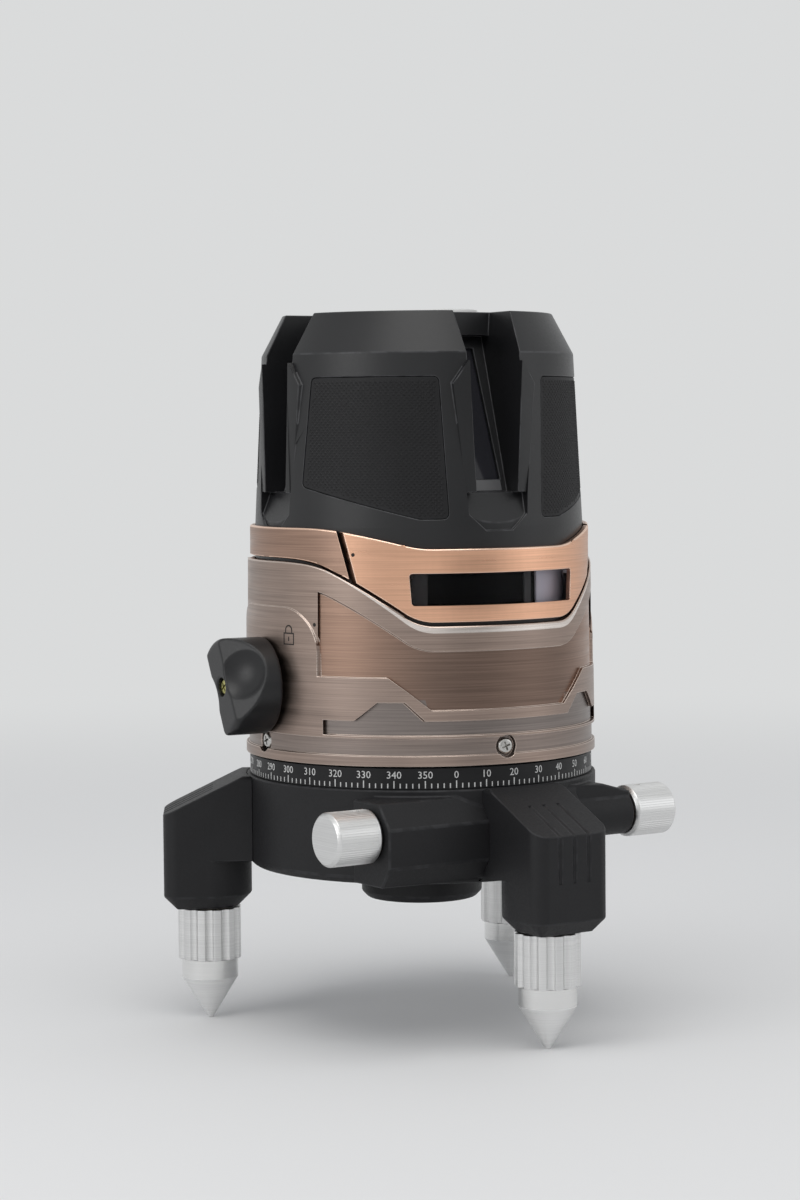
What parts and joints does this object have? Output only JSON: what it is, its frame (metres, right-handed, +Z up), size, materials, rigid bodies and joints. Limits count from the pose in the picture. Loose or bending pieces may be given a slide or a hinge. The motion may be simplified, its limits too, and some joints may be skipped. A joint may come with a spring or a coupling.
{
  "type": "line laser level",
  "caption": "Self-levelling line laser: bronze drum head with a black slotted cap on a swivelling base with screw feet, worm fine-turn knobs and a pendulum lock.",
  "frame": {"origin": "mouth of the tripod thread in the middle of the hub's face, on the swivel axis", "axes": "+Z up along the swivel axis, -Y towards the horizontal laser window, +X to the window's right"},
  "size_m": [0.1448, 0.1329, 0.2143],
  "materials": {
    "black_cast": "matt black, fine grain",
    "black_moulded": "matt black",
    "grip_rubber": "fine diamond texture",
    "bronze_shell": "horizontally brushed, antique bronze plated",
    "copper_trim": "horizontally brushed, bright copper plated",
    "bright_aluminium": "turned, fine knurl",
    "inner_aluminium": "machined",
    "steel": "machined",
    "zinc_screw": "yellow zinc plated",
    "brass": "machined",
    "magnet_nickel": "nickel plated",
    "scale_black": "black, white printed degree marks",
    "clear_glass": "clear",
    "vial_acrylic": "clear yellow-green",
    "button_grey": "soft touch",
    "panel_black": "satin membrane",
    "board_green": "solder mask",
    "pack_wrap": "shrink sleeve"
  },
  "bodies": {
    "base": {"base_casting": "black_cast", "base_legs": "black_cast", "tripod_hub": "black_cast", "foot_bushes": "brass", "spindle_bush": "brass", "scale_ring": "scale_black", "worm_bushes": "brass"},
    "fine_drive": {"worm_shaft": "steel", "fine_knob_left": "bright_aluminium", "fine_knob_right": "bright_aluminium", "knob_grub_screws": "steel"},
    "drive_ring": {"worm_ring": "brass", "friction_washer": "black_moulded"},
    "head": {"turntable": "inner_aluminium", "spindle_nut": "steel", "body_shell": "bronze_shell", "shell_screws": "steel", "upper_band": "bronze_shell", "window_bezel": "copper_trim", "window_frame": "black_moulded", "horizontal_window": "clear_glass", "head_cap": "black_moulded", "slot_windows": "clear_glass", "top_panel": "panel_black", "bubble_vial": "vial_acrylic", "keypad_board": "board_green", "lock_bush": "black_moulded", "lock_housing": "black_moulded", "damper_magnets": "magnet_nickel", "gimbal_bracket": "inner_aluminium", "gimbal_bearings": "steel", "battery_box": "black_moulded", "battery_pack": "pack_wrap", "cover_pin": "steel", "main_board": "board_green", "grip_pad_front_left": "grip_rubber", "grip_pad_front_right": "grip_rubber", "grip_pad_rear_left": "grip_rubber", "grip_pad_rear_right": "grip_rubber"},
    "lock": {"lock_knob": "black_moulded", "knob_screw": "zinc_screw", "lock_shaft": "steel", "lock_cam": "steel"},
    "plunger": {"lock_plunger": "brass"},
    "gimbal": {"gimbal_ring": "inner_aluminium"},
    "swing": {"pendulum": "inner_aluminium", "pendulum_axle": "steel", "vertical_lasers": "inner_aluminium", "horizontal_laser": "inner_aluminium", "damping_disc": "brass"},
    "hatch": {"battery_cover": "black_moulded"},
    "key_front": {"button_front": "button_grey"},
    "key_middle": {"button_middle": "button_grey"},
    "key_rear": {"button_rear": "button_grey"},
    "foot_carrier_1": {"foot_clip_1": "steel"},
    "screw_foot_1": {"foot_1": "bright_aluminium"},
    "foot_carrier_2": {"foot_clip_2": "steel"},
    "screw_foot_2": {"foot_2": "bright_aluminium"},
    "foot_carrier_3": {"foot_clip_3": "steel"},
    "screw_foot_3": {"foot_3": "bright_aluminium"}
  },
  "joints": [
    {"name": "worm_turn", "type": "hinge", "parent": "base", "child": "fine_drive", "pos_m": [0.00412, -0.04481, 0.027], "axis": [0.9958, 0.0915, 0], "continuous": true},
    {"name": "ring_turn", "type": "hinge", "parent": "base", "child": "drive_ring", "pos_m": [0, 0, 0.027], "axis": [0, 0, 1], "continuous": true},
    {"name": "head_swivel", "type": "hinge", "parent": "drive_ring", "child": "head", "pos_m": [0, 0, 0.04], "axis": [0, 0, 1], "continuous": true},
    {"name": "lock_turn", "type": "hinge", "parent": "head", "child": "lock", "pos_m": [-0.05, 0, 0.0668], "axis": [1, 0, 0], "range_deg": [0, 70]},
    {"name": "plunger_lift", "type": "slide", "parent": "head", "child": "plunger", "axis": [0, 0, 1], "range_m": [0, 0.00201]},
    {"name": "gimbal_tilt", "type": "hinge", "parent": "head", "child": "gimbal", "pos_m": [0, 0, 0.119], "axis": [1, 0, 0], "range_deg": [-4, 4]},
    {"name": "swing_tilt", "type": "hinge", "parent": "gimbal", "child": "swing", "pos_m": [0, 0, 0.119], "axis": [0, 1, 0], "range_deg": [-4, 4]},
    {"name": "hatch_swing", "type": "hinge", "parent": "head", "child": "hatch", "pos_m": [0, 0.051, 0.0572], "axis": [-1, 0, 0], "range_deg": [0, 95]},
    {"name": "key_front_press", "type": "slide", "parent": "head", "child": "key_front", "axis": [0, 0, -1], "range_m": [0, 0.0006], "stiffness_N_per_m": 1500, "springref_m": -0.0004},
    {"name": "key_middle_press", "type": "slide", "parent": "head", "child": "key_middle", "axis": [0, 0, -1], "range_m": [0, 0.0006], "stiffness_N_per_m": 1500, "springref_m": -0.0004},
    {"name": "key_rear_press", "type": "slide", "parent": "head", "child": "key_rear", "axis": [0, 0, -1], "range_m": [0, 0.0006], "stiffness_N_per_m": 1500, "springref_m": -0.0004},
    {"name": "foot_travel_1", "type": "slide", "parent": "base", "child": "foot_carrier_1", "axis": [0, 0, -1], "range_m": [0, 0.008]},
    {"name": "foot_turn_1", "type": "hinge", "parent": "foot_carrier_1", "child": "screw_foot_1", "pos_m": [0.00593, -0.06453, 0], "axis": [0, 0, -1], "range_deg": [0, 2305]},
    {"name": "foot_travel_2", "type": "slide", "parent": "base", "child": "foot_carrier_2", "axis": [0, 0, -1], "range_m": [0, 0.008]},
    {"name": "foot_turn_2", "type": "hinge", "parent": "foot_carrier_2", "child": "screw_foot_2", "pos_m": [0.05292, 0.0374, 0], "axis": [0, 0, -1], "range_deg": [0, 2305]},
    {"name": "foot_travel_3", "type": "slide", "parent": "base", "child": "foot_carrier_3", "axis": [0, 0, -1], "range_m": [0, 0.008]},
    {"name": "foot_turn_3", "type": "hinge", "parent": "foot_carrier_3", "child": "screw_foot_3", "pos_m": [-0.05885, 0.02713, 0], "axis": [0, 0, -1], "range_deg": [0, 2305]}
  ],
  "couplings": [
    {"joint": "worm_turn", "follows": "ring_turn", "ratio": -100},
    {"joint": "lock_turn", "follows": "plunger_lift", "rad_per_m": 608.64},
    {"joint": "foot_turn_1", "follows": "foot_travel_1", "rad_per_m": 5026.5},
    {"joint": "foot_turn_2", "follows": "foot_travel_2", "rad_per_m": 5026.5},
    {"joint": "foot_turn_3", "follows": "foot_travel_3", "rad_per_m": 5026.5}
  ]
}
